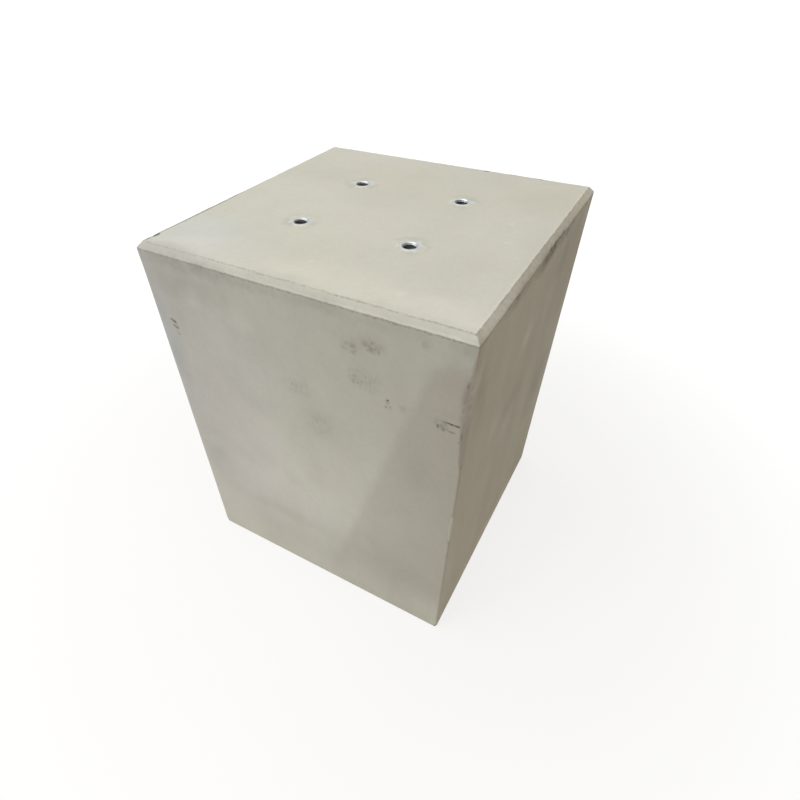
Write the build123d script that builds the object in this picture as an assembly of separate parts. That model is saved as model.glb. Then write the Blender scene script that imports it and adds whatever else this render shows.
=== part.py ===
from build123d import *
import math
import os

# Concrete deck pier block: a square cast block with four threaded steel sockets set flush in its top.
# Millimetres, +Z up. The origin is the centre of the base, and Y runs from the front face to the back.

# Cast block
block_width = 400.0
block_depth = 400.0
block_height = 500.0
top_chamfer = 7.0

# Places of the four sockets in the top, from axis to axis
socket_spacing_x = 140.0
socket_spacing_y = 140.0

# Socket, turned from round bar
socket_diameter = 24.0
socket_rim_bevel = 0.4
socket_foot_bevel = 1.5
steel_below_bore = 4.5
steel_below_pin = 9.0

# Bore of the socket, for a coarse metric thread
thread_diameter = 16.0
thread_pitch = 2.0
bore_depth = 45.0
mouth_diameter = 18.0
mouth_angle = 90.0
drill_point_angle = 118.0

# Anchor pin through the foot of the socket
pin_diameter = 12.0
pin_length = 110.0
pin_end_bevel = 1.0
pin_clearance = 0.2

# Sizes that follow from those above. The wall of the bore is cut to the thread's minor diameter,
# which lies 5/8 of the height of the thread's sharp triangle inside the nominal size on each side.
thread_triangle_height = math.sqrt(3) / 2 * thread_pitch
bore_radius = thread_diameter / 2 - 5 / 8 * thread_triangle_height
mouth_depth = (mouth_diameter / 2 - bore_radius) / math.tan(math.radians(mouth_angle / 2))
drill_point_depth = bore_radius / math.tan(math.radians(drill_point_angle / 2))
cross_hole_radius = pin_diameter / 2 + pin_clearance
pin_depth = bore_depth + drill_point_depth + steel_below_bore + cross_hole_radius
socket_length = pin_depth + cross_hole_radius + steel_below_pin

# The four corners of the pattern, each with its side of the centre along X and Y
corners = {
    "front_left": (-1, -1),
    "front_right": (1, -1),
    "back_left": (-1, 1),
    "back_right": (1, 1),
}


def turned(outline):
    """Solid of revolution about Z from (radius, height) points that start and end on the axis."""
    section = make_face(Plane.XZ * Polyline(*outline, close=True))
    return revolve(section, Axis.Z)


def socket_envelope():
    """Outside of one socket, solid right through, with its mouth face at Z = 0 and its foot below."""
    radius = socket_diameter / 2
    return turned([
        (0, 0),
        (radius - socket_rim_bevel, 0),
        (radius, -socket_rim_bevel),
        (radius, socket_foot_bevel - socket_length),
        (radius - socket_foot_bevel, -socket_length),
        (0, -socket_length),
    ])


def socket_bore():
    """Countersunk mouth, straight wall and drill point of the blind bore."""
    return turned([
        (0, 0),
        (mouth_diameter / 2, 0),
        (bore_radius, -mouth_depth),
        (bore_radius, -bore_depth),
        (0, -bore_depth - drill_point_depth),
    ])


def cross_hole():
    """Hole through the foot of the socket, along X."""
    return Pos(0, 0, -pin_depth) * Rot(0, 90, 0) * Cylinder(cross_hole_radius, 2 * socket_diameter)


def anchor_pin():
    """Straight pin with bevelled ends, along X at its depth below the mouth face."""
    pin = Cylinder(pin_diameter / 2, pin_length)
    pin = chamfer(pin.edges().filter_by(GeomType.CIRCLE), pin_end_bevel)
    return Pos(0, 0, -pin_depth) * Rot(0, 90, 0) * pin


def place(side_x, side_y):
    """From the mouth of a socket to its corner of the pattern, turned so that the pin points outwards."""
    x = side_x * socket_spacing_x / 2
    y = side_y * socket_spacing_y / 2
    return Pos(x, y, block_height) * Rot(0, 0, math.degrees(math.atan2(y, x)))


def cast_block():
    """The concrete, with its top edges chamfered and a seat round each socket and pin."""
    block = Box(block_width, block_depth, block_height, align=(Align.CENTER, Align.CENTER, Align.MIN))
    block = chamfer(block.faces().sort_by(Axis.Z)[-1].edges(), top_chamfer)
    for side_x, side_y in corners.values():
        block -= place(side_x, side_y) * (socket_envelope() + anchor_pin())
    return block


def save(node, shape):
    """One STEP file for one piece."""
    export_step(shape, f"parts/{node}.step")


os.makedirs("parts", exist_ok=True)
save("concrete_block", cast_block())
for corner, (side_x, side_y) in corners.items():
    spot = place(side_x, side_y)
    save(f"threaded_socket_{corner}", spot * (socket_envelope() - socket_bore() - cross_hole()))
    save(f"anchor_pin_{corner}", spot * anchor_pin())
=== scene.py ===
import math

import bmesh
import bpy
import numpy as np
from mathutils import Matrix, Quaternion, Vector


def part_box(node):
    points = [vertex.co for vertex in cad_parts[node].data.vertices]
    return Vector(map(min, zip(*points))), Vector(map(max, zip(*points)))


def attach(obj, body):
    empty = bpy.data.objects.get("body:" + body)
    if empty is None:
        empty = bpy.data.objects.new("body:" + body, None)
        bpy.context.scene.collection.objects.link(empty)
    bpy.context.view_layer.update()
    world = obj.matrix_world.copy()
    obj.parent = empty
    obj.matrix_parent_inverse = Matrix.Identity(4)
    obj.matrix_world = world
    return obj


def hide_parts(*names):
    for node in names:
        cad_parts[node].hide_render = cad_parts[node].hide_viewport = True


# A square cast concrete block with four threaded steel sockets set flush in its top, on a pale floor.
# Metres, +Z up. The origin is the middle of the base, and the photograph's left-hand wall is at -Y.
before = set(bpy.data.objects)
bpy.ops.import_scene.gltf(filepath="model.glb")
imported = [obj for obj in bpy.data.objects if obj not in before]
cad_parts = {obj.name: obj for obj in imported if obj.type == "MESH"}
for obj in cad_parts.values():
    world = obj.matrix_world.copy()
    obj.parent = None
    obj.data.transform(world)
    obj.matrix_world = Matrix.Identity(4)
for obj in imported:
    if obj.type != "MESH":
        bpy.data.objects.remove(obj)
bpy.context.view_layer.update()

mm = 0.001

# Block, from the frame, with the sizes that its box doesn't give
block_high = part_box("concrete_block")[1]
half_width = block_high.x
half_depth = block_high.y
block_top = block_high.z
top_chamfer = 7 * mm
chamfer_foot = block_top - top_chamfer
top_half_width = half_width - top_chamfer

# Sockets: each axis is the middle of its box
corners = ("front_left", "front_right", "back_left", "back_right")
socket_axes = {}
for corner in corners:
    low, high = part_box(f"threaded_socket_{corner}")
    socket_axes[corner] = ((low.x + high.x) / 2, (low.y + high.y) / 2)
socket_radius = 12 * mm
socket_rim_bevel = 0.4 * mm
socket_foot_bevel = 1.5 * mm
socket_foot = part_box("threaded_socket_front_left")[0].z - block_top
mouth_radius = 9 * mm
bore_depth = 45 * mm
drill_point_angle = math.radians(118)
thread_pitch = 2 * mm
thread_major_radius = 8 * mm
thread_minor_radius = thread_major_radius - 5 / 8 * math.sqrt(3) / 2 * thread_pitch
thread_depth = thread_major_radius - thread_minor_radius
thread_length = 38 * mm
thread_runout = 4 * mm

# Anchor pins, along the diagonals
pin_low, pin_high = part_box("anchor_pin_front_left")
pin_height = (pin_low.z + pin_high.z) / 2 - block_top
pin_radius = 6 * mm
pin_half_length = 55 * mm
cross_hole_radius = 6.2 * mm

# Grid lines of the block, and the half width of the window in its top that each socket's seat fills
coarse_spacing = 9 * mm
arris_spacing = 0.4 * mm
spacing_growth = 0.42
spacing_samples = 20001
seat_window = socket_radius + 9 * mm
seat_window_spacing = 3.4 * mm

# Mesh of a socket: its columns, half the columns of the window round its cross hole, and its bore's rows
socket_columns = 64
hole_window = 7
bore_rows = 180

# Closer points are welded, shorter edges are dissolved, and no divisor is smaller
weld_distance = 0.002 * mm
shortest_edge = 0.001 * mm
almost_zero = 1e-9

# Wear of the block. Roundings are given by the blend length of two faces, 0.42 of the radius. Each pair of
# heights is where a change starts and where it is complete.
crisp_blend = 0.3 * mm
crisp_heights = (464 * mm, 490 * mm)
cast_arris_blend = 0.8 * mm
rubbed_blend = 2.2 * mm
rubbed_blend_heights = (390 * mm, 420 * mm)
rubbed_from, rubbed_to = 336 * mm, 436 * mm
rubbed_foot_fade, rubbed_top_fade = 16 * mm, 32 * mm
rubbed_reach = 7 * mm
rubbed_clear = 2 * mm
rubbed_uneven = 0.3 * mm
rubbed_slant = math.radians(27)
spall_middle, spall_half_length, spall_width = 241 * mm, 24 * mm, 2.2 * mm
skin_drop = 0.15 * mm
skin_foot_fade = 12 * mm
fin_width = 0.7 * mm
chamfer_wander = 0.3 * mm
core_depth = 40 * mm
march_steps = 24

# Studio. The camera's lens and centre are given in pixels of the square photograph.
floor_half_size = 12.0
floor_lift, floor_white = 0.72, 1.08
white_from_to = (0.4, 1.15)
camera_place = Vector((0.3019, -0.5506, 0.7361))
view_azimuth = math.radians(30.80)
view_elevation = math.radians(44.08)
view_roll = math.radians(-1.225)
photo_size = 800
focal_length_px = 519.43
centre_px = (369.30, 436.93)
sensor_width = 36.0


def ripple(points, wavelength, seed):
    """Smooth noise, mostly within -1 to 1: a sum of sine waves of about one wavelength, in seeded
    directions."""
    random = np.random.default_rng(seed)
    waves = 14
    directions = random.normal(size=(waves, 3))
    directions /= np.linalg.norm(directions, axis=1, keepdims=True)
    turns = points @ directions.T / wavelength + random.uniform(0, 1, waves)
    return np.sin(2 * np.pi * turns).sum(axis=1) / math.sqrt(waves)


def smooth_step(value, start, end):
    """0 up to start, 1 from end on, and 3t^2 - 2t^3 between them."""
    share = np.clip((value - start) / (end - start), 0, 1)
    return share * share * (3 - 2 * share)


def lines(low, high, fine):
    """Grid positions from low to high. fine holds (start, end, spacing), and away from those stretches the
    spacing grows with the distance. The running total of 1 / spacing numbers the lines."""
    place = np.linspace(low, high, spacing_samples)
    spacing = np.full(place.shape, coarse_spacing)
    for start, end, step in fine:
        away = np.maximum(np.maximum(start - place, place - end), 0)
        spacing = np.minimum(spacing, step + spacing_growth * away)
    passed = np.concatenate([[0], np.cumsum(2 * np.diff(place) / (spacing[1:] + spacing[:-1]))])
    return np.interp(np.linspace(0, passed[-1], math.ceil(passed[-1]) + 1), passed, place)


def outline(across, along):
    """Points once round the edge of a grid with those lines, anticlockwise from its lowest corner."""
    front = np.stack([across[:-1], np.full(len(across) - 1, along[0])], axis=1)
    right = np.stack([np.full(len(along) - 1, across[-1]), along[:-1]], axis=1)
    back = np.stack([across[:0:-1], np.full(len(across) - 1, along[-1])], axis=1)
    left = np.stack([np.full(len(along) - 1, across[0]), along[:0:-1]], axis=1)
    return np.concatenate([front, right, back, left])


def at_height(plan, height):
    """Plan points lifted to one height."""
    return np.column_stack([plan, np.full(len(plan), height)])


def grid_faces(rows, columns, closed):
    """Corner numbers of the quads between neighbouring rows and columns. Columns run anticlockwise and rows
    away from the start, so the faces point to the right-hand side. closed joins the last column to the
    first."""
    number = np.arange(rows * columns).reshape(rows, columns)
    if closed:
        number = np.concatenate([number, number[:, :1]], axis=1)
    quads = [number[:-1, :-1], number[:-1, 1:], number[1:, 1:], number[1:, :-1]]
    return np.stack(quads, axis=-1)


def piece_from(name, patches, attributes=None):
    """One welded mesh piece from patches, each its points (N, 3) and its faces (M, 4)."""
    points = np.concatenate([patch[0] for patch in patches])
    starts = np.cumsum([0] + [len(patch[0]) for patch in patches[:-1]])
    faces = np.concatenate([patch[1] + start for patch, start in zip(patches, starts)])
    mesh = bpy.data.meshes.new(name)
    mesh.from_pydata(points, [], faces)
    for key, (kind, values) in (attributes or {}).items():
        field = "vector" if kind == "FLOAT_VECTOR" else "value"
        layer = mesh.attributes.new(key, kind, "POINT")
        layer.data.foreach_set(field, np.ascontiguousarray(values, dtype=np.float32).ravel())
    shape = bmesh.new()
    shape.from_mesh(mesh)
    bmesh.ops.remove_doubles(shape, verts=shape.verts, dist=weld_distance)
    bmesh.ops.dissolve_degenerate(shape, edges=shape.edges, dist=shortest_edge)
    shape.to_mesh(mesh)
    shape.free()
    mesh.shade_smooth()
    piece = bpy.data.objects.new(name, mesh)
    bpy.context.scene.collection.objects.link(piece)
    return piece


# Hollows worn or cast into the faces: (place along the wall, height, half length, half height, depth) in mm.
# On the front wall the place is X, and on the right-hand wall it is Y.
front_hollows = [
    (115.0, 399.1, 1.5, 1.3, 0.9),
    (112.4, 391.8, 1.3, 1.6, 0.5),
    (135.2, 398.4, 1.6, 1.0, 0.3),
    (134.3, 392.7, 1.4, 0.9, 0.3),
    (-175.6, 407.4, 2.6, 2.4, 0.35),
    (-174.6, 399.8, 2.8, 1.6, 0.3),
    (-172.5, 390.5, 1.2, 1.3, 0.2),
    (177.5, 399.9, 6.5, 0.7, 0.35),
    (184.4, 399.7, 4.0, 0.9, 0.8),
    (191.0, 399.6, 3.8, 0.9, 0.8),
    (170.6, 390.6, 1.1, 3.6, 0.6),
    (177.0, 390.4, 2.0, 0.8, 0.25),
    (187.0, 389.8, 1.8, 0.8, 0.3),
]
right_hollows = [
    (-183.0, 490.6, 3.0, 1.6, 0.8),
    (-188.6, 490.8, 1.6, 1.2, 0.6),
    (-103.0, 490.2, 9.0, 1.6, 0.8),
    (-96.0, 487.2, 3.5, 1.4, 0.5),
    (4.0, 491.6, 9.0, 2.6, 1.4),
    (22.0, 491.8, 8.0, 3.0, 1.8),
    (38.0, 492.2, 7.0, 2.4, 1.4),
    (55.0, 492.4, 6.0, 1.8, 1.1),
]
# Chips at the arrises: the place and the three half sizes, in mm
arris_chips = [
    (-18.0, -193.6, 499.6, 4.6, 1.0, 0.7),
    (-24.5, -193.4, 499.8, 1.6, 0.8, 0.5),
    (193.6, -193.4, 499.6, 1.0, 1.2, 1.1),
    (56.0, 193.4, 499.8, 5.0, 0.9, 0.7),
    (200.0, -200.0, 213.5, 2.2, 1.4, 2.2),
    (200.0, -200.0, 300.0, 1.0, 1.0, 3.0),
    (200.0, -200.0, 2.0, 3.0, 3.0, 3.0),
    (-200.0, -200.0, 3.0, 2.6, 2.6, 4.0),
]


def rubbed_pits():
    """Small seeded pits along the rubbed part of the near arris, where the cement skin is broken: centres
    and half sizes."""
    random = np.random.default_rng(29)
    count = 60
    inset = random.gamma(3.0, 2.0, count) * mm
    height = random.uniform(rubbed_from + 10 * mm, rubbed_to - 2 * mm, count)
    wide, deep, tall = (random.uniform(*sizes, count) for sizes in ((0.6, 1.2), (0.15, 0.35), (1.2, 3.4)))
    half = np.column_stack([wide, deep, tall]) * mm
    front = random.uniform(size=count) < 0.6
    on_front = np.column_stack([half_width - inset, np.full(count, -half_depth), height])
    on_right = np.column_stack([np.full(count, half_width), inset - half_depth, height])
    centres = np.where(front[:, None], on_front, on_right)
    halves = np.where(front[:, None], half, half[:, [1, 0, 2]])
    return centres, halves


def all_hollows():
    """Centres and half sizes of every ellipsoid that is cut out of the block."""
    front = np.array(front_hollows) * mm
    right = np.array(right_hollows) * mm
    chips = np.array(arris_chips) * mm
    pit_centres, pit_halves = rubbed_pits()
    centres = [
        np.column_stack([front[:, 0], np.full(len(front), -half_depth), front[:, 1]]),
        np.column_stack([np.full(len(right), half_width), right[:, 0], right[:, 1]]),
        chips[:, :3],
        pit_centres,
    ]
    halves = [front[:, [2, 4, 3]], right[:, [4, 2, 3]], chips[:, 3:], pit_halves]
    return np.concatenate(centres), np.concatenate(halves)


def blend_length(points):
    """How softly neighbouring faces meet: crisp at the chamfer, with a cast rounding at the other arrises and
    a softer one where the near arris was rubbed."""
    x, y, z = points.T
    near_arris = half_width + half_depth
    beside = smooth_step(x - y, near_arris - 40 * mm, near_arris - 30 * mm)
    rubbed = smooth_step(z, *rubbed_blend_heights) * beside
    soft = cast_arris_blend + (rubbed_blend - cast_arris_blend) * rubbed
    return soft + (crisp_blend - soft) * smooth_step(z, *crisp_heights)


def rubbed_cut(points):
    """Height above the slanting face that rubbing left on the near arris. It starts on the front wall, at a
    distance from the arris that shrinks downwards to nothing, and runs out twice as far on the right wall.
    Past its ends it lies clear of the block."""
    x, y, z = points.T
    ends = smooth_step(z, rubbed_from, rubbed_from + rubbed_foot_fade)
    ends -= smooth_step(z, rubbed_to, rubbed_to + rubbed_top_fade)
    narrowing = 0.5 + 0.5 * np.clip((z - rubbed_from) / (rubbed_to - rubbed_from), 0, 1)
    uneven = rubbed_uneven * ripple(points * [0, 0, 1], 21 * mm, 3)
    reach = (rubbed_reach + rubbed_clear) * ends * narrowing - rubbed_clear + uneven * ends
    return (x - half_width + reach) * math.cos(rubbed_slant) - (y + half_depth) * math.sin(rubbed_slant)


def skin_depth(points):
    """Depth of the cement skin below the sharp block: skin_drop with faint waves, less on the broken thin
    fins where the mould's chamfer strip met its walls, and nothing at the foot."""
    x, y, z = points.T
    out = np.minimum(half_width - np.abs(x), half_depth - np.abs(y))
    below = block_top - z
    upper = np.hypot(out - top_chamfer, below)
    lower = np.hypot(out, below - top_chamfer)
    fin = np.exp(-(np.minimum(upper, lower) / fin_width) ** 2)
    broken = 0.6 + 0.5 * ripple(points, 26 * mm, 5) + 0.3 * ripple(points, 6 * mm, 6)
    waves = 0.05 * mm * ripple(points, 90 * mm, 7) + 0.02 * mm * ripple(points, 14 * mm, 8)
    drop = skin_drop * (1 - fin * np.clip(broken, 0, 1)) + waves
    return np.maximum(drop, 0) * smooth_step(z, 0, skin_foot_fade)


def outside_skin(points):
    """Height above the worn skin, without its hollows: the faces' plane distances joined by
    blend * log(sum(exp(distance / blend))), plus the depth of the skin. Also gives the share of the last
    plane, the rubbed one, in that sum."""
    x, y, z = points.T
    wander = chamfer_wander * ripple(points * [1, 1, 0], 24 * mm, 9)
    chamfer_start = half_width + block_top - top_chamfer
    spall = spall_width * (1 - ((z - spall_middle) / spall_half_length) ** 4)
    planes = np.stack([
        np.abs(x) - half_width,
        np.abs(y) - half_depth,
        z - block_top,
        -z,
        (np.abs(x) + z - chamfer_start + wander) / math.sqrt(2),
        (np.abs(y) + z - chamfer_start + wander) / math.sqrt(2),
        (x - y - half_width - half_depth + np.maximum(spall, -half_width)) / math.sqrt(2),
        rubbed_cut(points),
    ])
    blend = blend_length(points)
    highest = planes.max(axis=0)
    shares = np.exp((planes - highest) / blend)
    joined = highest + blend * np.log(shares.sum(axis=0))
    return joined + skin_depth(points), shares[-1] / shares.sum(axis=0)


def above_hollows(points, centres, halves):
    """How deep each point lies inside a hollow, at least: 0.7 (1 - |offset / half sizes|) times the least
    half size, for the hollow where that is most, with a ragged edge. It is negative outside."""
    ragged = 0.3 * ripple(points, 3.2 * mm, 12)
    depth = np.full(len(points), -np.inf)
    for centre, half in zip(centres, halves):
        share = np.linalg.norm((points - centre) / half, axis=1) + ragged
        depth = np.maximum(depth, (1 - share) * 0.7 * half.min())
    return depth


def worn(points):
    """Slides each point of the sharp block towards the nearest place core_depth inside it until it meets the
    worn skin, then to the bottom of any hollow there. Returns the places, how far each lies below the skin,
    in metres, and the rubbed share."""
    low = np.array([-half_width, -half_depth, 0]) + core_depth
    high = np.array([half_width, half_depth, block_top]) - core_depth
    inward = np.clip(points, low, high) - points
    inward /= np.maximum(np.linalg.norm(inward, axis=1, keepdims=True), almost_zero)
    skin = points.copy()
    for _ in range(march_steps):
        height, rubbed = outside_skin(skin)
        skin += inward * np.maximum(height, 0)[:, None]
    centres, halves = all_hollows()
    # The widened hollows take in the whole of the ragged edges
    near = above_hollows(skin, centres, halves * 1.5 + 1 * mm) > 0
    bottom = skin[near]
    for _ in range(march_steps):
        bottom += inward[near] * np.maximum(above_hollows(bottom, centres, halves), 0)[:, None]
    hollow = np.zeros(len(points))
    hollow[near] = np.linalg.norm(bottom - skin[near], axis=1)
    skin[near] = bottom
    return skin, hollow, rubbed


def seat_radius(turn, depth):
    """Radius of the hole round one socket: the socket's own outside, or where the pin crosses it, the way to
    the pin's side or end. turn is the angle from the pin, and depth is negative below the top."""
    bevel = np.minimum(socket_radius, socket_radius - socket_foot_bevel + depth - socket_foot)
    half_chord = np.sqrt(np.maximum(pin_radius ** 2 - (depth - pin_height) ** 2, 0))
    to_side = half_chord / np.maximum(np.abs(np.sin(turn)), almost_zero)
    to_end = pin_half_length / np.maximum(np.abs(np.cos(turn)), almost_zero)
    return np.maximum(bevel, np.minimum(to_side, to_end))


def seat_patch(axis, window):
    """Top face from the window's edge to the socket's circle, then down the seat and across its bottom: a
    straight blend from the edge to the circle, and then seat_radius at each depth."""
    offset = window - axis
    angle = np.arctan2(offset[:, 1], offset[:, 0])
    direction = np.column_stack([np.cos(angle), np.sin(angle)])
    rows = []
    for share in (0, 0.3, 0.55, 0.75, 0.88, 0.96, 1):
        rows.append(at_height(window * (1 - share) + (axis + direction * socket_radius) * share, block_top))
    pin_rows = pin_height + pin_radius * np.cos(np.linspace(0, np.pi, 13))
    upper, lower = [-2 * mm, -20 * mm, -40 * mm], [socket_foot + socket_foot_bevel, socket_foot]
    depths = np.concatenate([upper, pin_rows, lower])
    turn = angle - math.atan2(axis[1], axis[0])
    for depth in depths:
        radius = seat_radius(turn, depth)
        rows.append(at_height(axis + direction * radius[:, None], block_top + depth))
    rows.append(at_height(np.tile(axis, (len(window), 1)), block_top + socket_foot))
    return np.concatenate(rows), grid_faces(len(rows), len(window), True).reshape(-1, 4)


def block_lines():
    """The block's grid lines across, along and up its walls, closer at the arrises, round the sockets and
    where its hollows and chips are."""
    across_fine = [
        (-half_width, -half_width, arris_spacing),
        (half_width, half_width, arris_spacing),
        (186 * mm, half_width, 0.9 * mm),
        (168 * mm, 186 * mm, 1.9 * mm),
        (111 * mm, 117 * mm, 1.2 * mm),
        (133 * mm, 137 * mm, 1.8 * mm),
        (-178 * mm, -171 * mm, 1.7 * mm),
    ]
    along_fine = [
        (-half_depth, -half_depth, arris_spacing),
        (half_depth, half_depth, arris_spacing),
        (-half_depth, -188 * mm, 0.9 * mm),
        (-4 * mm, 60 * mm, 4 * mm),
    ]
    up_fine = [
        (0, 0, 0.6 * mm),
        (chamfer_foot, chamfer_foot, arris_spacing),
        (486 * mm, 493 * mm, 0.9 * mm),
        (rubbed_from - 14 * mm, 486 * mm, 1.8 * mm),
        (399 * mm, 400.4 * mm, 0.45 * mm),
        (388 * mm, 393 * mm, 0.9 * mm),
        (210 * mm, 218 * mm, 1.5 * mm),
    ]
    for x, y in np.round(list(socket_axes.values()), 5):
        across_fine.append((x - seat_window, x + seat_window, seat_window_spacing))
        along_fine.append((y - seat_window, y + seat_window, seat_window_spacing))
    across = lines(-half_width, half_width, across_fine)
    along = lines(-half_depth, half_depth, along_fine)
    return across, along, lines(0, chamfer_foot, up_fine)


def walls_and_chamfer(rim, up, top_share):
    """The plan's outline carried straight up the walls, and then inwards up the chamfer, to top_share of its
    size."""
    rows = [at_height(rim, height) for height in up]
    steps = lines(0, top_chamfer, [(0, 0, arris_spacing), (top_chamfer, top_chamfer, arris_spacing)])
    for step in steps[1:]:
        rows.append(at_height(rim * (1 + (top_share - 1) * step / top_chamfer), chamfer_foot + step))
    return np.concatenate(rows), grid_faces(len(rows), len(rim), True).reshape(-1, 4)


def level_grid(across, along, height):
    """A level grid that faces up: its points, and its quads in rows and columns."""
    x, y = np.meshgrid(across, along)
    points = at_height(np.column_stack([x.ravel(), y.ravel()]), height)
    return points, grid_faces(len(along), len(across), False)


def top_patches(across, along):
    """The top, a level grid with a window left round each socket, and the seats that fill the windows."""
    points, faces = level_grid(across, along, block_top)
    keep = np.ones(faces.shape[:2], dtype=bool)
    patches = []
    for x, y in socket_axes.values():
        first, last = np.searchsorted(across, [x - seat_window, x + seat_window])
        start, end = np.searchsorted(along, [y - seat_window, y + seat_window])
        keep[start:end, first:last] = False
        window = outline(across[first:last + 1], along[start:end + 1])
        patches.append(seat_patch(np.array([x, y]), window))
    return [*patches, (points, faces[keep])]


def concrete_block():
    """The sharp block, from walls, chamfer, top, seats and a base that faces down, with each point then slid
    to its place on the worn one."""
    across, along, up = block_lines()
    top_share = np.array([1 - top_chamfer / half_width, 1 - top_chamfer / half_depth])
    base_points, base_faces = level_grid(across, along, 0)
    patches = [
        walls_and_chamfer(outline(across, along), up, top_share),
        *top_patches(across * top_share[0], along * top_share[1]),
        (base_points, base_faces[..., ::-1].reshape(-1, 4)),
    ]
    points, hollow, rubbed = worn(np.concatenate([patch[0] for patch in patches]))
    ends = np.cumsum([len(patch[0]) for patch in patches])
    patches = [(part, patch[1]) for part, patch in zip(np.split(points, ends[:-1]), patches)]
    return piece_from("cast_block", patches, {"hollow": ("FLOAT", hollow), "rubbed": ("FLOAT", rubbed)})


def bore_radius_at(angle, depth):
    """Radius of the bore: the thread's 60 degree grooves, following a right-hand helix, or the countersink
    where that is wider. angle is in radians, and depth is negative below the mouth."""
    phase = (depth / thread_pitch - angle / (2 * np.pi)) % 1
    from_crest = np.abs(phase - 0.5) * thread_pitch
    groove = np.clip((from_crest - thread_pitch / 8) * math.sqrt(3), 0, thread_depth)
    groove = groove * smooth_step(depth, -thread_length, -thread_length + thread_runout)
    return np.maximum(thread_minor_radius + groove, mouth_radius + depth)


def about_axis(radius, angle, height):
    """Points at those radii, angles and heights about Z."""
    return np.column_stack([radius * np.cos(angle), radius * np.sin(angle), np.full(angle.shape, height)])


def socket_window(turn, angles, heights, radius):
    """Cylinder wall from a window's edge to the round cross hole, both worked out as (angle, height) and
    wrapped onto the wall. Returns its points, its faces and the hole's own edge."""
    edge = outline(angles, heights)
    middle = np.array([turn, pin_height])
    offset = (edge - middle) * [radius, 1]
    around = np.arctan2(offset[:, 1], offset[:, 0])
    hole = np.column_stack([
        turn + np.arcsin(cross_hole_radius * np.cos(around) / radius),
        pin_height + cross_hole_radius * np.sin(around),
    ])
    rows = [edge * (1 - share) + hole * share for share in (0, 0.4, 0.75, 1)]
    flat = np.concatenate(rows)
    points = about_axis(radius, flat[:, 0], flat[:, 1])
    return points, grid_faces(len(rows), len(edge), True).reshape(-1, 4), points[-len(edge):]


def socket_outside(window_heights):
    """Profile of (radius, height) from the foot's centre up the outside and over the rounded rim to the
    mouth, with rows at window_heights. Also gives the number of the first of those rows."""
    foot = [
        (0, socket_foot),
        (socket_radius - socket_foot_bevel, socket_foot),
        (socket_radius, socket_foot + socket_foot_bevel),
    ]
    side_heights = [*window_heights, -40 * mm, -20 * mm, -5 * mm, -1 * mm, -socket_rim_bevel]
    side = [(socket_radius, height) for height in side_heights]
    rim = [(socket_radius - 0.1 * mm, -0.2 * mm), (socket_radius - socket_rim_bevel, 0)]
    face = [(radius * mm, 0) for radius in (11.4, 10.5, 9.6, 9.15)]
    return foot + side + rim + face, len(foot)


def socket_patches():
    """One turned socket about its own axis, mouth at Z = 0 and the cross hole along X. Its profile runs from
    the foot's centre up the outside, over the rim and down the threaded bore to the drill point."""
    angle = -np.pi / 2 + np.arange(socket_columns) * 2 * np.pi / socket_columns
    window_step = 2 * np.pi / socket_columns * socket_radius
    window_heights = pin_height + np.arange(-hole_window, hole_window + 1) * window_step
    profile, first_row = socket_outside(window_heights)
    rows = [about_axis(radius, angle, height) for radius, height in profile]
    bore_depths = np.concatenate([[0, -0.15 * mm], -np.arange(1, bore_rows + 1) * bore_depth / bore_rows])
    rows += [about_axis(bore_radius_at(angle, depth), angle, depth) for depth in bore_depths]
    rows.append(about_axis(0, angle, -bore_depth - thread_minor_radius / math.tan(drill_point_angle / 2)))
    faces = grid_faces(len(rows), socket_columns, True)
    patches = []
    mouths = []
    for turn, middle_column in ((0, socket_columns // 4), (np.pi, 3 * socket_columns // 4)):
        start, end = middle_column - hole_window, middle_column + hole_window
        faces[first_row:first_row + 2 * hole_window, start:end] = -1
        points, window_faces, mouth = socket_window(turn, angle[start:end + 1], window_heights, socket_radius)
        patches.append((points, window_faces))
        mouths.append(mouth)
    faces = faces.reshape(-1, 4)
    patches.append((np.concatenate(rows), faces[faces[:, 0] >= 0]))
    tunnel = [mouths[0] * [share, 1, 1] for share in (1, 0.5, 0, -0.5, -1)]
    patches.append((np.concatenate(tunnel), grid_faces(len(tunnel), len(mouths[0]), True).reshape(-1, 4)))
    return patches


def socket_piece(corner):
    """The socket at one corner, turned so that its cross hole lies along the diagonal."""
    x, y = socket_axes[corner]
    turn = math.atan2(y, x)
    cos, sin = math.cos(turn), math.sin(turn)
    rotation = np.array([[cos, -sin, 0], [sin, cos, 0], [0, 0, 1]])
    turned = [(points @ rotation.T, faces) for points, faces in socket_patches()]
    from_axis = np.concatenate([points for points, _ in turned])
    placed = [(points + [x, y, block_top], faces) for points, faces in turned]
    return piece_from(f"socket_{corner}", placed, {"from_axis": ("FLOAT_VECTOR", from_axis)})


def linear(hex_colour):
    """An sRGB hex colour as linear RGBA."""
    channels = [int(hex_colour[i:i + 2], 16) / 255 for i in (1, 3, 5)]
    return (*[c / 12.92 if c <= 0.04045 else ((c + 0.055) / 1.055) ** 2.4 for c in channels], 1)


def add(tree, kind, inputs=(), **settings):
    """Adds a node and returns its outputs. inputs gives each input, by number or name, a value or another
    node's output, and settings are the node's own properties."""
    node = tree.nodes.new(f"ShaderNode{kind}")
    for name, value in settings.items():
        setattr(node, name, value)
    given = inputs if isinstance(inputs, dict) else dict(enumerate(inputs))
    for key, value in given.items():
        if isinstance(value, bpy.types.NodeSocket):
            tree.links.new(value, node.inputs[key])
        else:
            node.inputs[key].default_value = value
    return node.outputs


# Settings that many nodes share. softly makes Map Range take one range to another along an S-shaped curve.
# The second range is 0 to 1 where none is given.
times = {"operation": "MULTIPLY"}
plus = {"operation": "ADD"}
minus = {"operation": "SUBTRACT"}
length = {"operation": "LENGTH"}
softly = {"interpolation_type": "SMOOTHSTEP"}


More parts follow.
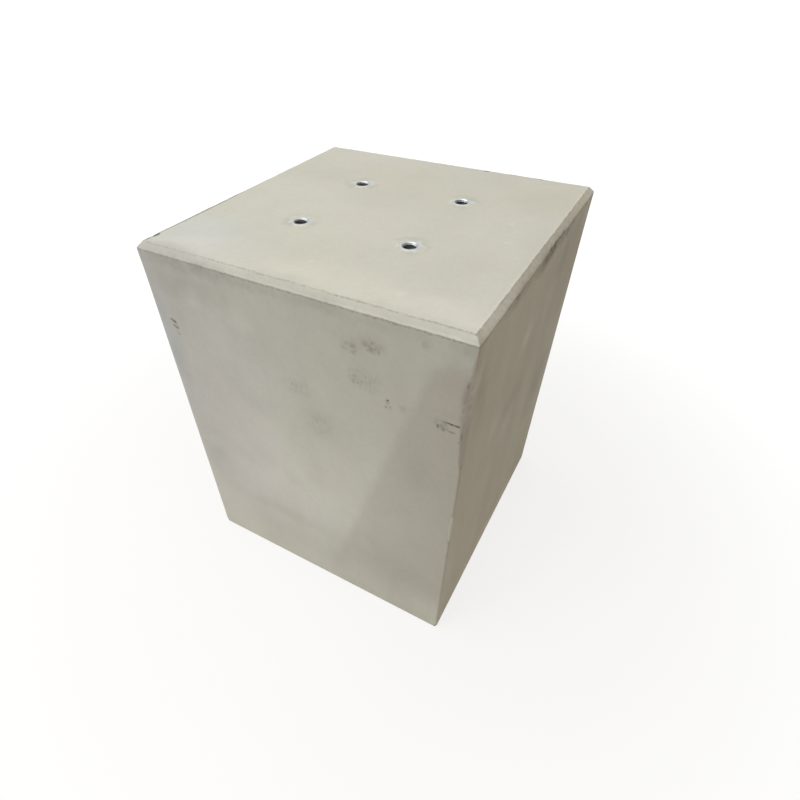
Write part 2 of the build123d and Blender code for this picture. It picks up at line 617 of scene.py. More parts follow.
def noise_scale(size):
    """Scale of a noise whose largest grains are about size metres across."""
    return 0.5 / size


def new_material(name):
    """An empty material and its node tree."""
    material = bpy.data.materials.new(name)
    material.use_nodes = True
    material.node_tree.nodes.clear()
    return material, material.node_tree


def layered(tree, colour, layers):
    """colour mixed in turn towards each layer's colour by its share, an output. The colour form of Mix has
    its factor in input 0, its colours in inputs 6 and 7 and its result in output 2."""
    for share, hex_colour in layers:
        colour = add(tree, "Mix", {0: share, 6: colour, 7: linear(hex_colour)}, data_type="RGBA")[2]
    return colour


def patch_mask(tree, coords, centre, half, soft, strength):
    """strength inside an ellipsoid, falling to 0 over its outer share soft: from |place / half - centre /
    half|, with centre and half sizes in mm."""
    scale = [1 / (h * mm) for h in half]
    start = [-c / h for c, h in zip(centre, half)]
    scaled = add(tree, "VectorMath", (coords, scale, start), operation="MULTIPLY_ADD")[0]
    away = add(tree, "VectorMath", (scaled,), **length)["Value"]
    return add(tree, "MapRange", (away, 1.0, 1.0 - soft, 0.0, strength), **softly)[0]


def mark_masks(tree, coords, marks, soft):
    """patch_mask of each mark: its centre, half sizes and strength."""
    return [patch_mask(tree, coords, centre, half, soft, strength) for centre, half, strength in marks]


def total(tree, terms):
    """Sum of several outputs."""
    result = terms[0]
    for term in terms[1:]:
        result = add(tree, "Math", (result, term), **plus)[0]
    return result


def limited(tree, share, limits):
    """share times, for each (value, start, end), how far value has come from start to end."""
    for value, start, end in limits:
        within = add(tree, "MapRange", (value, start, end), **softly)[0]
        share = add(tree, "Math", (share, within), **times)[0]
    return share


def wandering(tree, coords, size, reach):
    """coords moved to and fro by smooth noise of that size, by up to about half of reach."""
    noise = add(tree, "TexNoise", {"Vector": coords, "Scale": noise_scale(size)})["Color"]
    shift = add(tree, "VectorMath", (noise, (0.5, 0.5, 0.5)), **minus)[0]
    moved = add(tree, "VectorMath", {0: shift, "Scale": reach}, operation="SCALE")[0]
    return add(tree, "VectorMath", (coords, moved), **plus)[0]


def line_mask(tree, folded, out, up, reach, ways):
    """1 on the lines that run round the block at that distance from the middle and that height, falling to 0
    at reach. folded is the place with X and Y made positive, and ways are along_x, along_y or both."""
    away = add(tree, "VectorMath", (folded, (out, out, up)), **minus)[0]
    masks = []
    for way in ways:
        across = add(tree, "VectorMath", (away, way), **times)[0]
        distance = add(tree, "VectorMath", (across,), **length)["Value"]
        masks.append(add(tree, "MapRange", (distance, reach, 0.2 * reach), **softly)[0])
    return total(tree, masks)


# Uneven tone of the cast faces, with painted light and shade in it: the front wall darker high up and lighter
# low down, and the right-hand wall lighter towards its foot. Each is (centre, half sizes) in mm, then how
# much lighter or darker
tones_and_painted_light = [
    # Painted shade: the front wall darker high up
    ((0, -200, 520), (420, 20, 270), -0.11),
    ((-165, -200, 460), (70, 20, 110), -0.12),
    ((-187, -200, 346), (24, 20, 56), -0.09),
    ((170, -200, 470), (60, 20, 36), -0.06),
    ((-115, -200, 466), (80, 20, 44), -0.11),
    ((-204, -200, 380), (30, 20, 180), -0.06),
    ((182, -200, 424), (34, 20, 44), 0.06),
    ((-60, -200, 322), (48, 20, 40), -0.05),
    # Painted light: the front wall lighter low down
    ((0, -200, 200), (200, 20, 170), 0.13),
    ((-60, -200, 116), (130, 20, 24), -0.07),
    ((-172, -200, 170), (60, 20, 110), -0.08),
    ((-60, -200, 20), (260, 20, 60), 0.07),
    ((150, -200, 312), (34, 20, 80), -0.05),
    ((118, -200, 112), (62, 20, 70), -0.05),
    ((190, -200, 30), (46, 20, 60), 0.08),
    ((-150, -200, 280), (110, 20, 210), -0.09),
    ((-120, -200, 120), (70, 20, 60), -0.02),
    ((32, -200, 60), (34, 20, 70), -0.06),
    ((200, -60, 395), (20, 100, 60), 0.01),
    ((200, -20, 402), (20, 26, 26), 0.1),
    ((200, -95, 318), (20, 34, 50), 0.09),
    ((200, -35, 262), (20, 44, 44), 0.09),
    ((200, -30, 316), (20, 72, 36), -0.1),
    ((200, -60, 160), (20, 130, 80), -0.05),
    ((200, 90, 456), (20, 80, 44), -0.18),
    ((200, 192, 470), (20, 40, 40), 0.1),
    ((200, -170, 420), (20, 20, 70), -0.12),
    ((200, 125, 230), (20, 70, 90), -0.2),
    ((200, 130, 400), (20, 120, 110), -0.09),
    ((200, 20, 290), (20, 160, 190), -0.07),
    # Painted light: the right-hand wall lighter towards its foot, in these two
    ((200, 0, 0), (20, 300, 130), 0.18),
    ((200, 0, 0), (20, 300, 50), 0.2),
    ((-130, 85, 500), (70, 60, 20), -0.05),
    ((-99, -108, 500), (50, 50, 20), -0.03),
    ((188, -20, 500), (26, 130, 20), -0.04),
    ((186, 150, 500), (26, 60, 20), 0.04),
    ((150, 120, 500), (60, 60, 20), -0.03),
    ((136, -90, 500), (50, 90, 20), -0.04),
    ((172, -180, 500), (60, 50, 20), 0.07),
    ((-20, 40, 500), (120, 40, 20), -0.02),
    ((60, -185, 500), (190, 66, 20), 0.11),
    ((-60, -186, 500), (130, 40, 20), 0.03),
    ((-140, -172, 500), (70, 30, 20), 0.05),
]
# Tone of smaller places, in the same order: the strips beside the chamfer, those just below it painted
# shadow, the near arris, mostly painted light and shade of its rounding, and spots on the top
narrow_tones_and_painted_light = [
    # Painted shadow just below the chamfer's foot, on the front and right-hand walls
    ((-120, -200, 488), (140, 6, 15), -0.16),
    ((50, -200, 488), (150, 6, 13), -0.11),
    ((200, -90, 488), (6, 70, 14), -0.24),
    ((200, -6, 486), (6, 54, 16), -0.48),
    ((200, 60, 487), (6, 70, 14), -0.2),
    ((0, -197, 497), (150, 9, 9), -0.05),
    ((197, -140, 497), (9, 70, 9), 0.13),
    ((197, 175, 497), (9, 120, 9), 0.15),
    ((190, -197, 497), (40, 9, 9), 0.06),
    # Painted light and shade of the rounded near arris, in the next five
    ((192, -200, 486), (22, 8, 13), -0.16),
    ((199, -191, 460), (9, 13, 18), 0.16),
    ((199, -190, 440), (10, 14, 20), 0.2),
    ((196, -195, 455), (6, 8, 9), 0.1),
    ((198, -194, 419), (9, 12, 24), 0.12),
    ((200, -177, 430), (8, 9, 40), -0.05),
    ((176, -200, 410), (24, 6, 8), -0.06),
    ((145.8, 35.3, 500), (6, 8, 9), 0.09),
    ((157.4, -15.1, 500), (6, 8, 9), 0.07),
    ((-1.8, -147.7, 500), (6, 7, 9), 0.1),
    ((108, -164.5, 500), (7, 7, 9), 0.08),
]
# Tinted patches: (centre, half sizes) in mm, colour and strength
tinted_patches = [
    ((-110, -200, 260), (330, 20, 420), "#D0CDC8", 0.9),
    ((-150, -150, 500), (110, 85, 60), "#CFD3D2", 0.55),
    ((-125, -30, 500), (70, 60, 20), "#C9CDBC", 0.3),
    ((-30, -95, 500), (80, 60, 20), "#CFCFBA", 0.3),
    ((-50, 120, 500), (90, 60, 20), "#D0C7B6", 0.25),
    ((150, 110, 500), (80, 90, 20), "#C9C1AE", 0.3),
    ((12, -200, 290), (85, 20, 140), "#C6C7B2", 0.5),
    ((86, -200, 461), (30, 6, 18), "#C2B1A8", 0.3),
    ((186, -200, 440), (22, 10, 60), "#BFB0A6", 0.4),
    ((180, -200, 362), (22, 10, 50), "#C2B4A8", 0.35),
    ((193, -200, 130), (16, 8, 100), "#C2B4A8", 0.4),
    ((200, -192, 430), (20, 14, 70), "#C6BDB4", 0.7),
    ((-204, -200, 380), (46, 20, 190), "#C6C9CA", 0.7),
    ((197, -135, 497), (9, 70, 9), "#C9C6BE", 0.5),
    ((200, 192, 480), (14, 50, 40), "#C4C2C0", 0.5),
    ((200, -95, 330), (20, 60, 90), "#C4B8AC", 0.4),
    ((200, -35, 260), (20, 50, 60), "#C4B8AC", 0.35),
    ((200, 10, 405), (20, 50, 30), "#C4B8AC", 0.4),
    ((200, 0, 10), (20, 300, 70), "#C6B7A8", 0.4),
]
# Dirt and rubbed marks: (centre, half sizes) in mm, then strength
smudges = [
    ((73, -200, 450), (14, 6, 9), 0.6),
    ((99, -200, 460), (16, 6, 10), 0.75),
    ((78, -200, 416), (12, 6, 14), 0.45),
    ((92, -200, 416), (26, 6, 20), 0.24),
    ((116, -200, 396), (6, 6, 10), 0.25),
    ((132, -200, 397), (9, 6, 10), 0.22),
    ((0, -200, 374), (26, 6, 18), 0.22),
    ((26, -200, 329), (32, 6, 30), 0.2),
    ((153, -200, 480), (8, 6, 8), 0.4),
    ((-174, -200, 402), (7, 6, 14), 0.5),
    ((-112, -200, 491), (16, 6, 6), 0.3),
    ((176, -200, 398), (18, 6, 9), 0.4),
    ((173, -200, 391), (8, 6, 7), 0.5),
    ((196, -198, 446), (3.2, 5, 9), 0.8),
    ((199.5, -199, 449), (2, 4, 6), 0.6),
    ((195, -198, 430), (3, 5, 6), 0.7),
    ((199, -198, 431), (1.8, 4, 6), 0.5),
    ((193, -199, 413), (2.4, 4, 9), 0.6),
    ((195.5, -199, 382), (3, 5, 9), 0.95),
    ((198.5, -199, 345), (3, 5, 7), 0.75),
    ((200, -190, 452), (5, 4.5, 30), 0.35),
    ((200, -192, 415), (5, 4.5, 26), 0.5),
    ((200, -194, 392), (5, 4, 20), 0.5),
    ((200, 14, 488), (5, 40, 8), 0.9),
    ((200, 72, 488.5), (5, 46, 6), 0.8),
    ((200, -100, 487), (5, 16, 5), 0.5),
]
# Pale streaks and scuffs, in the same order
pale_marks = [
    ((200, -24, 398), (5, 8, 14), 0.5),
    ((200, -12, 402), (5, 10, 14), 0.5),
    ((200, 12, 408), (5, 14, 12), 0.3),
    ((200, -95, 318), (5, 18, 22), 0.3),
    ((200, -30, 268), (5, 16, 18), 0.35),
    ((-176, -200, 400), (14, 5, 20), 0.35),
    ((193.5, -199, 354), (2, 4, 8), 0.4),
]
# Thin dark marks, in the same order
scratches = [
    ((183, -200, 399.8), (15, 3, 1.5), 0.5),
    ((182.6, -200, 399.9), (4.4, 3, 2.2), 0.4),
    ((190.6, -200, 399.4), (4.4, 3, 2.2), 0.45),
    ((170.4, -200, 391.6), (1.8, 3, 4.6), 0.6),
    ((177.0, -200, 390.6), (3.4, 3, 1.9), 0.35),
    ((185.0, -200, 389.8), (6.0, 3, 1.9), 0.4),
    ((115.0, -200, 401.6), (2.4, 3, 2.0), 0.75),
    ((112.8, -200, 391.8), (1.8, 3, 2.2), 0.5),
    ((118.0, -200, 394.0), (1.6, 3, 2.0), 0.4),
    ((-178.0, -200, 409.0), (4.0, 3, 2.8), 0.55),
    ((-174.4, -200, 406.6), (4.0, 3, 3.4), 0.65),
    ((-177.6, -200, 400.8), (4.0, 3, 2.2), 0.35),
    ((-173.2, -200, 399.0), (4.4, 3, 2.6), 0.45),
    ((-172.5, -200, 390.5), (2.4, 3, 2.4), 0.35),
    ((194.3, -197.5, 449), (1.6, 4, 7), 0.4),
    ((197, -192.5, 446), (1.6, 4, 9), 0.25),
    ((193.8, -198.5, 433), (1.8, 4, 4), 0.4),
    ((196.8, -192.8, 433), (1.5, 4, 5), 0.22),
    ((193.2, -200, 420), (1.4, 4, 5), 0.3),
    ((195.2, -199.5, 388), (1.8, 4, 8), 0.45),
    ((-191.2, -176.5, 500), (4.2, 7, 4), 1.2),
    ((-192, -187, 500), (3.2, 6, 4), 0.6),
    ((-192.4, -95, 500), (3.6, 125, 3), 0.6),
    ((56, 191.6, 500), (6, 4, 3), 0.9),
    ((94, 191.8, 500), (9, 3.2, 3), 0.35),
    ((130, 191.8, 500), (13, 3.2, 3), 0.4),
]
# Lines along the chamfer's arrises, pale ones as painted highlights where thin fins catch the light and dark
# ones as
# dirt and painted shadow beside them: (distance from the middle, height, reach) in metres, colour, strength
# and the walls that have it. along_x is front and back, and along_y is left and right.
along_x, along_y = (0, 1, 1), (1, 0, 1)
painted_highlight_lines = [
    (half_width - 0.6 * mm, chamfer_foot + 0.7 * mm, 1.9 * mm, "#E4E1D2", 0.6, [along_x]),
    (top_half_width - 0.2 * mm, block_top - 0.2 * mm, 2.0 * mm, "#E2DCCB", 0.7, [along_y]),
]
dirt_and_painted_shadow_lines = [
    (top_half_width + 0.6 * mm, block_top - 0.6 * mm, 1.5 * mm, "#7F7D69", 0.45, [along_x, along_y]),
    (half_width, chamfer_foot - 1.4 * mm, 1.9 * mm, "#7F7967", 0.5, [along_x, along_y]),
]


def cement_layers(tree, coords, parts, blotches):
    """Faint clouds and blotches all over, with upright streaks on the walls and a browner right-hand wall.
    Heights are shrunk for the streaks, which are then eight times as long as they are wide."""
    clouds = add(tree, "TexNoise", {"Vector": coords, "Scale": noise_scale(110 * mm)})["Fac"]
    upright = add(tree, "VectorMath", (coords, (1, 1, 0.12)), **times)[0]
    streaks = add(tree, "TexNoise", {"Vector": upright, "Scale": noise_scale(22 * mm)})["Fac"]
    walls = add(tree, "Math", (parts["Z"], chamfer_foot), operation="LESS_THAN")[0]
    streaked = add(tree, "MapRange", (streaks, 0.35, 0.7, 0.0, 0.25), **softly)[0]
    on_walls = add(tree, "Math", (streaked, walls), **times)[0]
    browned = add(tree, "MapRange", (streaks, 0.3, 0.7, 0.5, 0.8), **softly)[0]
    brown = limited(tree, browned, [(parts["X"], half_width - 3 * mm, half_width - 0.5 * mm)])
    return [
        (add(tree, "MapRange", (clouds, 0.35, 0.65), **softly)[0], "#D2D0C4"),
        (add(tree, "MapRange", (blotches, 0.45, 0.75, 0.0, 0.35), **softly)[0], "#C6C5B8"),
        (on_walls, "#BDBCAE"),
        (brown, "#C6BBA5"),
    ]


def dirt_layers(tree, coords, drifting, loose, crumbs):
    """Tinted patches with soft, drifting edges, then dirt and pale scuffs broken into upright fibres, three
    times as long as they are wide, and thin dark marks."""
    layers = [
        (patch_mask(tree, drifting, centre, half, 1.0, strength), colour)
        for centre, half, colour, strength in tinted_patches
    ]
    upright = add(tree, "VectorMath", (coords, (1, 1, 0.35)), **times)[0]
    fibres = add(tree, "TexNoise", {"Vector": upright, "Scale": noise_scale(1.6 * mm), "Detail": 3.0})["Fac"]
    coarse = add(tree, "MapRange", (crumbs, 0.35, 0.6, 0.2, 1.0), **softly)[0]
    fine = add(tree, "MapRange", (fibres, 0.35, 0.65, 0.25, 1.0), **softly)[0]
    broken = add(tree, "Math", (coarse, fine), **times)[0]
    for marks, colour in ((smudges, "#6C665F"), (pale_marks, "#DDD6C9")):
        spots = total(tree, mark_masks(tree, loose, marks, 0.8))
        layers.append((add(tree, "Math", (spots, broken), **times)[0], colour))
    shaky = wandering(tree, coords, 2.5 * mm, 3 * mm)
    thin = total(tree, mark_masks(tree, shaky, scratches, 0.7))
    layers.append((add(tree, "Math", (thin, 0.85), operation="MINIMUM")[0], "#45413A"))
    return layers


def painted_shadow_layer(tree, parts):
    """Painted shadow: the darker, browner side of a soft, slanting shadow edge across the front wall: right
    of
    X = slope * Z + start, and fading towards the base."""
    slope, start = 0.325, 11 * mm
    past = add(tree, "Math", (parts["X"], add(tree, "Math", (parts["Z"], slope), **times)[0]), **minus)[0]
    share = add(tree, "MapRange", (past, start - 8 * mm, start + 10 * mm, 0.0, 0.5), **softly)[0]
    share = limited(tree, share, [
        (parts["Y"], 4 * mm - half_depth, 1 * mm - half_depth),
        (parts["Z"], 10 * mm, 110 * mm),
        (parts["Z"], 475 * mm, 430 * mm),
    ])
    return share, "#AFAA9C"


def edge_layers(tree, coords, parts):
    """The chamfer on the right, greyer and speckled, then pale lines as painted highlights and broken dark
    lines of dirt and painted shadow along the chamfer's arrises, and broken darkening within 5 mm of the
    foot."""
    speckle = add(tree, "TexNoise", {"Vector": coords, "Scale": noise_scale(2.4 * mm), "Detail": 3.0})["Fac"]
    share = add(tree, "MapRange", (speckle, 0.35, 0.65, 0.5, 0.9), **softly)[0]
    beside = add(tree, "Math", (parts["X"], parts["Y"]), **plus)[0]
    share = limited(tree, share, [
        (parts["Z"], chamfer_foot - 0.2 * mm, chamfer_foot + 0.4 * mm),
        (parts["X"], top_half_width - 0.2 * mm, top_half_width + 0.4 * mm),
        (beside, -0.3 * mm, 0.3 * mm),
    ])
    layers = [(share, "#BDB6A3")]
    wavy = wandering(tree, coords, 4 * mm, 3 * mm)
    folded = add(tree, "VectorMath", (wavy,), operation="ABSOLUTE")[0]
    crumbled = add(tree, "TexNoise", {"Vector": coords, "Scale": noise_scale(2 * mm), "Detail": 3.0,
                                      "Roughness": 0.7})["Fac"]
    dashes = add(tree, "MapRange", (crumbled, 0.35, 0.6, 0.1, 1.0), **softly)[0]
    # Pale lines are painted highlights; dark lines are dirt and painted shadow.
    for out, up, reach, colour, strength, ways in painted_highlight_lines:
        on_line = line_mask(tree, folded, out, up, reach, ways)
        layers.append((add(tree, "Math", (on_line, strength), **times)[0], colour))
    for out, up, reach, colour, strength, ways in dirt_and_painted_shadow_lines:
        on_line = add(tree, "Math", (line_mask(tree, folded, out, up, reach, ways), dashes), **times)[0]
        layers.append((add(tree, "Math", (on_line, strength), **times)[0], colour))
    foot = add(tree, "MapRange", (parts["Z"], 5 * mm, 0.0, 0.0, 0.4), **softly)[0]
    layers.append((add(tree, "Math", (foot, dashes), **times)[0], "#7E7A6C"))
    return layers


def surround_layers(tree, loose):
    """A little grey dirt round each socket, and a fuzzy pale ring of smeared cement close to it. The sockets
    lie evenly about the middle, so one place with X and Y made positive serves all four."""
    folded = add(tree, "VectorMath", (loose,), operation="ABSOLUTE")[0]
    x, y = socket_axes["back_right"]
    away = add(tree, "VectorMath", (folded, (x, y, block_top)), **minus)[0]
    distance = add(tree, "VectorMath", (away,), **length)["Value"]
    layers = []
    for reach, strength, colour in ((28 * mm, 0.4, "#A2A596"), (19 * mm, 0.85, "#DADDDA")):
        patches = add(tree, "TexNoise", {"Vector": loose, "Scale": noise_scale(0.25 * reach),
                                         "Detail": 3.0})["Fac"]
        smeared = add(tree, "MapRange", (patches, 0.42, 0.6, 0.0, strength), **softly)[0]
        layers.append((limited(tree, smeared, [(distance, reach, socket_radius)]), colour))
    return layers


def wear_layers(tree, coords, crumbs):
    """Grime and painted shade in the hollows, darker with their depth, the browner rubbed part of the near
    arris and the fresh pale spall below it. The mesh says where the first two are."""
    hollow = add(tree, "Attribute", attribute_name="hollow")["Fac"]
    rubbed = add(tree, "Attribute", attribute_name="rubbed")["Fac"]
    streaked = add(tree, "MapRange", (crumbs, 0.35, 0.65, 0.55, 1.0), **softly)[0]
    spalled = patch_mask(tree, coords, (199, -199, 241), (3, 3, 26), 0.15, 0.7)
    return [
        (add(tree, "Math", (rubbed, streaked), **times)[0], "#C0B4A4"),
        # Grime and painted shade, darker with the depth of each hollow
        (add(tree, "MapRange", (hollow, 0.05 * mm, 0.7 * mm, 0.0, 0.3), **softly)[0], "#6A675C"),
        (spalled, "#DEDCCB"),
    ]


def cast_concrete():
    """Concrete cast against smooth steel formwork: a dense, matt, pale grey cement skin, with faint clouds
    and upright streaks, grime and painted shade in its pits and hollows and rub marks near the arrises.
    Painted light and shade also lie in its tones, in the lines along the chamfer and in a slanting shadow on
    the front wall."""
    material, tree = new_material("concrete_cast_in_smooth_steel_formwork")
    coords = add(tree, "TexCoord")["Object"]
    parts = add(tree, "SeparateXYZ", (coords,))
    blotches = add(tree, "TexNoise", {"Vector": coords, "Scale": noise_scale(28 * mm), "Detail": 3.0})["Fac"]
    speckle = add(tree, "TexNoise", {"Vector": coords, "Scale": noise_scale(2.2 * mm),
                                     "Roughness": 0.6})["Fac"]
    crumbs = add(tree, "TexNoise", {"Vector": coords, "Scale": noise_scale(3.5 * mm), "Detail": 3.0,
                                    "Roughness": 0.6})["Fac"]
    drifting = wandering(tree, coords, 30 * mm, 40 * mm)
    loose = wandering(tree, coords, 5 * mm, 12 * mm)
    # The shade layer is a painted shadow on the front wall.
    layers = cement_layers(tree, coords, parts, blotches) + [painted_shadow_layer(tree, parts)]
    layers += surround_layers(tree, loose) + edge_layers(tree, coords, parts)
    layers += dirt_layers(tree, coords, drifting, loose, crumbs) + wear_layers(tree, coords, crumbs)
    base = layered(tree, linear("#CDCBBD"), layers)

    # The tone masks carry painted light and shade as well as the concrete's own uneven tone.
    wide = mark_masks(tree, drifting, tones_and_painted_light, 1.0)
    narrow_and_painted_light = mark_masks(tree, loose, narrow_tones_and_painted_light, 1.0)
    grainy = add(tree, "MapRange", (speckle, 0.25, 0.75, 0.98, 1.02), **softly)[0]
    mottled = add(tree, "MapRange", (blotches, 0.35, 0.65, -0.025, 0.025), **softly)[0]
    tone = total(tree, [*wide, *narrow_and_painted_light, grainy, mottled])
    shaded = add(tree, "HueSaturation", {"Color": base, "Value": tone})["Color"]
    dust = add(tree, "MapRange", (blotches, 0.3, 0.7, 0.72, 0.86), **softly)[0]
    height = add(tree, "Math", (speckle, 0.35, crumbs), operation="MULTIPLY_ADD")[0]
    bump = add(tree, "Bump", {"Strength": 0.3, "Distance": 0.1 * mm, "Height": height})[0]
    shader = add(tree, "BsdfPrincipled", {"Base Color": shaded, "Roughness": dust, "Normal": bump})[0]
    add(tree, "OutputMaterial", (shader,))
    return material


def zinc_plated_steel():
    """Turned steel with zinc plating: pale grey, with fine rings from the lathe. Painted shade, with grime,
    darkens the top of the bore and most of the mouth, pale dust has settled further down, and a broken film
    of cement covers much of the rim. The far right side of mouth and rim, the same way round in every socket,
    is bare and catches the highlight."""
    material, tree = new_material("zinc_plated_turned_steel")
    own = add(tree, "Attribute", attribute_name="from_axis")["Vector"]
    flat = add(tree, "VectorMath", (own, (1, 1, 0)), **times)[0]
    radius = add(tree, "VectorMath", (flat,), **length)["Value"]
    depth = add(tree, "SeparateXYZ", (own,))["Z"]
    spots = add(tree, "TexNoise", {"Vector": own, "Scale": noise_scale(2.5 * mm), "Detail": 3.0,
                                   "Roughness": 0.6})["Fac"]
    plating = add(tree, "MapRange", (spots, 0.35, 0.65), **softly)[0]
    # Painted shade: the mouth is darkened and the rim filmed everywhere but on the far right side, the same
    # way round in every socket, where the bare metal catches the highlight
    far_right = (0.6, 0.8, 0)
    side = add(tree, "VectorMath", (own, far_right), operation="DOT_PRODUCT")["Value"]
    away_from_highlight = add(tree, "MapRange", (side, 4 * mm, 8 * mm, 1.0, 0.0), **softly)[0]
    blots = add(tree, "TexNoise", {"Vector": own, "Scale": noise_scale(4 * mm)})["Fac"]
    blotted = add(tree, "MapRange", (blots, 0.4, 0.6, 0.7, 1.0), **softly)[0]
    # Painted shade with grime in the mouth, and at the top of the bore below it
    mouth_grime_and_shade = add(tree, "MapRange", (depth, -0.1 * mm, -0.9 * mm, 0.0, 0.8), **softly)[0]
    for share in (blotted, away_from_highlight):
        mouth_grime_and_shade = add(tree, "Math", (mouth_grime_and_shade, share), **times)[0]
    bore_grime_and_shade = add(tree, "MapRange", (depth, -1.7 * mm, -2.9 * mm, 0.0, 0.9), **softly)[0]
    settled = add(tree, "MapRange", (depth, -4.5 * mm, -9 * mm, 0.0, 0.9), **softly)[0]
    smears = add(tree, "TexNoise", {"Vector": own, "Scale": noise_scale(5 * mm), "Detail": 3.0})["Fac"]
    film = add(tree, "MapRange", (smears, 0.4, 0.58, 0.3, 0.95), **softly)[0]
    on_rim = add(tree, "MapRange", (depth, -0.5 * mm, -0.1 * mm), **softly)[0]
    for share in (on_rim, away_from_highlight):
        film = add(tree, "Math", (film, share), **times)[0]
    colour = layered(tree, linear("#B4B9BA"), [
        (plating, "#C6CACA"),
        (mouth_grime_and_shade, "#66696A"),
        (bore_grime_and_shade, "#43464A"),
        (settled, "#C4C3B8"),
        (film, "#CBCBC3"),
    ])
    dull = add(tree, "Math", (film, mouth_grime_and_shade), operation="MAXIMUM")[0]
    dull = add(tree, "Math", (dull, settled), operation="MAXIMUM")[0]
    metallic = add(tree, "Math", (1.0, dull), **minus)[0]
    # The rings are drawn a little coarser than a lathe's feed leaves them, so that they show
    ring_spacing = 0.4 * mm
    along = add(tree, "Math", (radius, depth), **plus)[0]
    turns = add(tree, "Math", (along, 2 * math.pi / ring_spacing), **times)[0]
    rings = add(tree, "Math", (turns,), operation="SINE")[0]
    bump = add(tree, "Bump", {"Strength": 0.25, "Distance": 0.03 * mm, "Height": rings})[0]
    roughness = add(tree, "MapRange", (spots, 0.3, 0.7, 0.32, 0.5), **softly)[0]
    shader = add(tree, "BsdfPrincipled", {"Base Color": colour, "Metallic": metallic, "Roughness": roughness,
                                          "Normal": bump})[0]
    add(tree, "OutputMaterial", (shader,))
    return material


def plain_bar_steel():
    """Hot-rolled round bar: dark grey mill scale with a brown bloom of rust."""
    material, tree = new_material("hot_rolled_bar_steel")
    coords = add(tree, "TexCoord")["Object"]
    scale = add(tree, "TexNoise", {"Vector": coords, "Scale": noise_scale(6 * mm), "Detail": 4.0,
                                   "Roughness": 0.6})["Fac"]
    rust = add(tree, "MapRange", (scale, 0.45, 0.7), **softly)[0]
    colour = layered(tree, linear("#4A4C4E"), [(rust, "#6B5A4A")])
    roughness = add(tree, "MapRange", (scale, 0.3, 0.7, 0.45, 0.7), **softly)[0]
    bump = add(tree, "Bump", {"Strength": 0.4, "Distance": 0.1 * mm, "Height": scale})[0]
    shader = add(tree, "BsdfPrincipled", {"Base Color": colour, "Metallic": 0.8, "Roughness": roughness,
                                          "Normal": bump})[0]
    add(tree, "OutputMaterial", (shader,))
    return material


def dress(piece, slot, material, *nodes):
    """Gives a new piece its body and material, and hides the nodes that it stands for. slot is not used."""
    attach(piece, "root")
    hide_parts(*nodes)
    piece.data.materials.append(material)


def pale_floor():
    """A matt pale floor. The camera sees it lifted towards white, fully so away from the block, and it keeps
    the block's soft shadow."""
    half = floor_half_size
    mesh = bpy.data.meshes.new("floor")
    floor_corners = [(-half, -half, 0), (half, -half, 0), (half, half, 0), (-half, half, 0)]
    mesh.from_pydata(floor_corners, [], [(0, 1, 2, 3)])
    floor = bpy.data.objects.new("floor", mesh)
    bpy.context.scene.collection.objects.link(floor)
    material, tree = new_material("pale_studio_floor")
    matt = add(tree, "BsdfDiffuse", (linear("#F0EEE8"),))[0]
    white = add(tree, "Emission", (linear("#FFFFFF"), floor_white))[0]
    place = add(tree, "TexCoord")["Object"]
    away = add(tree, "VectorMath", (place,), **length)["Value"]
    lift = add(tree, "MapRange", (away, *white_from_to, floor_lift, 1.0), **softly)[0]
    seen = add(tree, "Math", (add(tree, "LightPath")["Is Camera Ray"], lift), **times)[0]
    mixed = add(tree, "MixShader", (seen, matt, white))[0]
    add(tree, "OutputMaterial", (mixed,))
    material.cycles.emission_sampling = "NONE"
    mesh.materials.append(material)


def studio_light():
    """Dim even surroundings, seen as white by the camera and in reflections."""
    world = bpy.data.worlds.new("studio")
    bpy.context.scene.world = world
    world.use_nodes = True
    tree = world.node_tree
    tree.nodes.clear()
    path = add(tree, "LightPath")
    seen = path["Is Camera Ray"]
    for ray in ("Is Glossy Ray", "Is Transmission Ray"):
        seen = add(tree, "Math", (seen, path[ray]), operation="MAXIMUM")[0]
    dim = add(tree, "Background", (linear("#FFFCF6"), 0.12))[0]
    white = add(tree, "Background", (linear("#FFFFFF"), 1.0))[0]
    mixed = add(tree, "MixShader", (seen, dim, white))[0]
    add(tree, "OutputWorld", (mixed,))


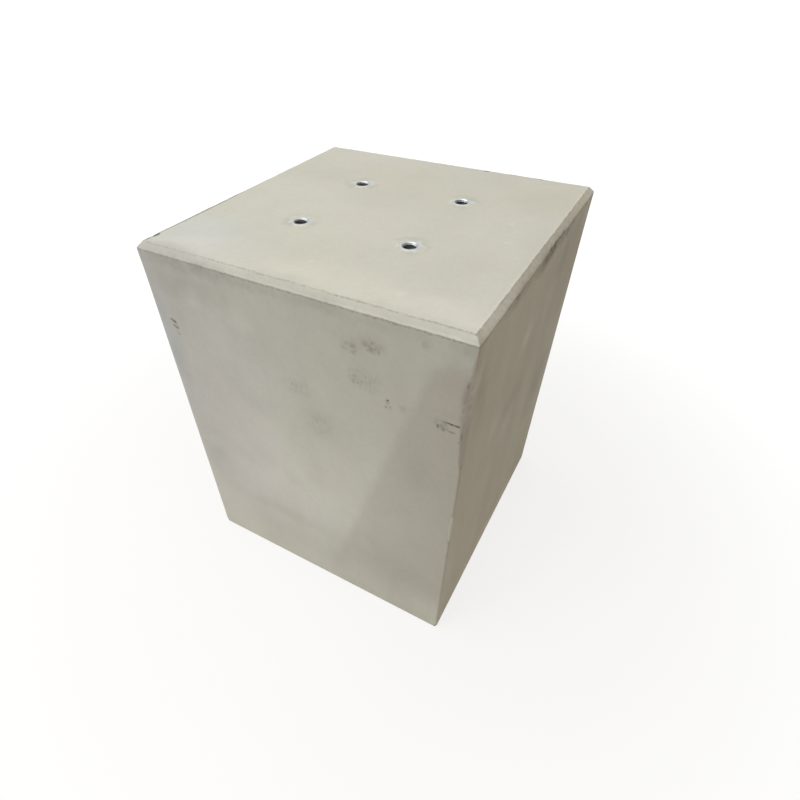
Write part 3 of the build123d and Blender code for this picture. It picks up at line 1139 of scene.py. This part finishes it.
def softbox(name, place, aim, size, power, colour):
    """A square area lamp at place, turned to its aim."""
    lamp = bpy.data.lights.new(name, "AREA")
    lamp.size = size
    lamp.energy = power
    lamp.color = linear(colour)[:3]
    holder = bpy.data.objects.new(name, lamp)
    holder.location = place
    holder.rotation_mode = "QUATERNION"
    holder.rotation_quaternion = (Vector(aim) - Vector(place)).to_track_quat("-Z", "Y")
    bpy.context.scene.collection.objects.link(holder)


def photograph_camera():
    """The photograph's camera: where it stood, its view direction and roll, its focal length and centre."""
    camera = bpy.data.cameras.new("camera")
    camera.sensor_width = sensor_width
    camera.lens = focal_length_px / photo_size * sensor_width
    camera.shift_x = (photo_size / 2 - centre_px[0]) / photo_size
    camera.shift_y = (centre_px[1] - photo_size / 2) / photo_size
    camera.clip_start = 0.01
    holder = bpy.data.objects.new("camera", camera)
    back = Vector((
        math.sin(view_azimuth) * math.cos(view_elevation),
        -math.cos(view_azimuth) * math.cos(view_elevation),
        math.sin(view_elevation),
    ))
    holder.location = camera_place
    holder.rotation_mode = "QUATERNION"
    holder.rotation_quaternion = Quaternion(back, view_roll) @ (-back).to_track_quat("-Z", "Y")
    bpy.context.scene.collection.objects.link(holder)
    bpy.context.scene.camera = holder


dress(concrete_block(), "cast_concrete", cast_concrete(), "concrete_block")
zinc = zinc_plated_steel()
for corner in corners:
    dress(socket_piece(corner), "zinc_plated_steel", zinc, f"threaded_socket_{corner}")
bar = plain_bar_steel()
for corner in corners:
    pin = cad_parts[f"anchor_pin_{corner}"]
    pin.data.materials.clear()
    pin.data.materials.append(bar)

pale_floor()
studio_light()
softbox("overhead_softbox", (-0.3, -0.2, 2.4), (0, 0, 0.3), 2.4, 42.0, "#FFFEFC")
softbox("low_front_softbox", (-0.9, -1.6, 0.35), (0, 0, 0.1), 1.0, 7.5, "#FFFEFF")
softbox("high_front_softbox", (-1.4, -2.0, 1.8), (0, 0, 0.3), 1.5, 5.2, "#FFFFFF")
softbox("right_softbox", (2.2, -0.2, 0.7), (0, 0, 0.2), 1.6, 4.0, "#FFFAF4")
photograph_camera()
bpy.context.scene.view_settings.view_transform = "Standard"
